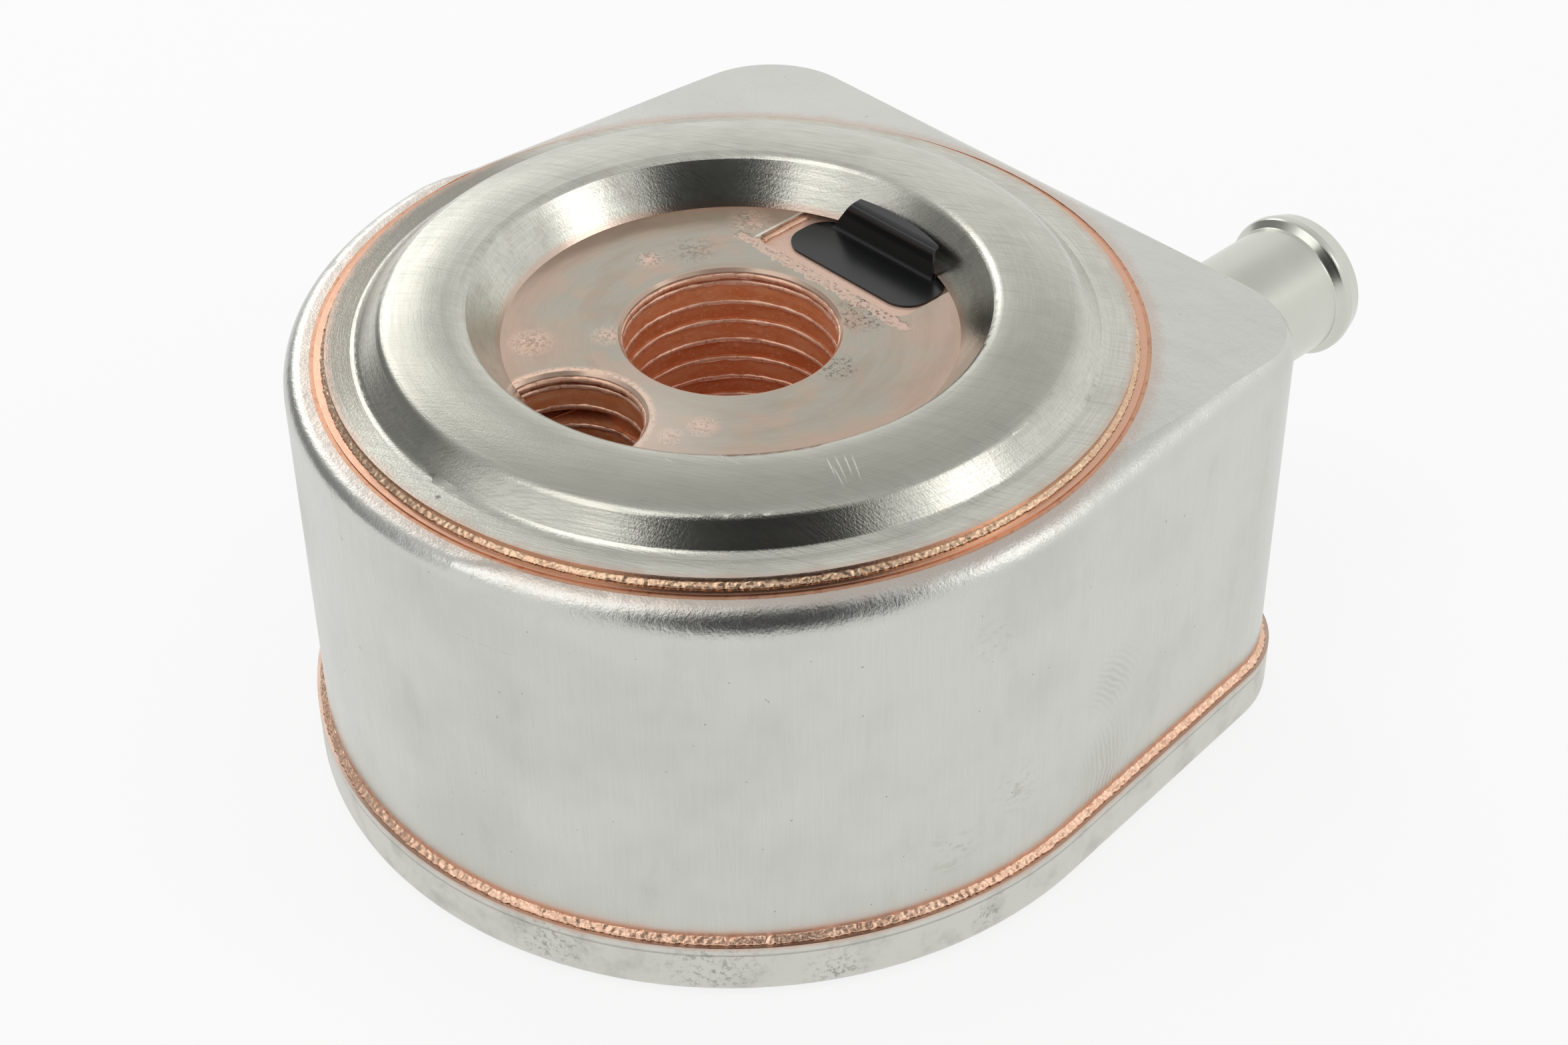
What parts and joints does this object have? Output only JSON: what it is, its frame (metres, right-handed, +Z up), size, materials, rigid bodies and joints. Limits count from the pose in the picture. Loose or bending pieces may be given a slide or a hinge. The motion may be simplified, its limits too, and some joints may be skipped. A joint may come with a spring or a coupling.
{
  "type": "oil cooler",
  "caption": "Round-fronted brazed plate oil cooler with a centre bore, a raised seat for a spin-on filter and beaded coolant stubs on its flat back.",
  "frame": {"origin": "centre of the bore in the engine face, the plane that rests on the block", "axes": "+Z up the bore towards the filter, +Y towards the flat back with the coolant stubs, +X to the side of the upper stub"},
  "size_m": [0.102, 0.122, 0.0585],
  "materials": {
    "can_steel": "satin stainless, faint upright grain",
    "pan_steel": "satin stainless, duller, stained by heat",
    "seat_steel": "bright stainless, turned in circles",
    "recess_steel": "satin stainless with copper stains",
    "flap_steel": "satin black",
    "seat_copper": "copper braze, grained",
    "land_copper": "copper braze, smooth",
    "rim_copper": "copper braze, rough",
    "stub_copper": "copper braze, smooth",
    "stub_steel": "satin stainless",
    "spacer_steel": "copper-washed steel",
    "tray_steel": "copper-washed steel",
    "lid_steel": "copper-washed steel",
    "ring_steel": "copper-washed steel",
    "fin_steel": "copper-washed steel",
    "seal_rubber": "matt black"
  },
  "bodies": {
    "root": {"canister": "can_steel", "base_pan": "pan_steel", "base_seal": "seal_rubber", "filter_seat_ring": "seat_steel", "recess_plate": "recess_steel", "bypass_flap": "flap_steel", "seat_braze": "seat_copper", "land_braze": "land_copper", "rim_braze": "rim_copper", "coolant_stub_upper": "stub_steel", "coolant_stub_lower": "stub_steel", "stub_braze_upper": "stub_copper", "stub_braze_lower": "stub_copper", "base_spacer_centre": "spacer_steel", "base_spacer_inlet": "spacer_steel", "base_spacer_outlet": "spacer_steel", "cell_1_tray": "tray_steel", "cell_1_lid": "lid_steel", "cell_1_ring": "ring_steel", "cell_1_turbulator": "fin_steel", "cell_2_tray": "tray_steel", "cell_2_lid": "lid_steel", "cell_2_ring": "ring_steel", "cell_2_turbulator": "fin_steel", "cell_3_tray": "tray_steel", "cell_3_lid": "lid_steel", "cell_3_ring": "ring_steel", "cell_3_turbulator": "fin_steel", "cell_4_tray": "tray_steel", "cell_4_lid": "lid_steel", "cell_4_ring": "ring_steel", "cell_4_turbulator": "fin_steel", "cell_5_tray": "tray_steel", "cell_5_lid": "lid_steel", "cell_5_ring": "ring_steel", "cell_5_turbulator": "fin_steel", "cell_6_tray": "tray_steel", "cell_6_lid": "lid_steel", "cell_6_ring": "ring_steel", "cell_6_turbulator": "fin_steel", "cell_7_tray": "tray_steel", "cell_7_lid": "lid_steel", "cell_7_ring": "ring_steel", "cell_7_turbulator": "fin_steel", "cell_8_tray": "tray_steel", "cell_8_lid": "lid_steel", "cell_8_ring": "ring_steel", "cell_8_turbulator": "fin_steel", "cell_9_tray": "tray_steel", "cell_9_lid": "lid_steel", "cell_9_ring": "ring_steel", "cell_9_turbulator": "fin_steel"}
  },
  "joints": []
}
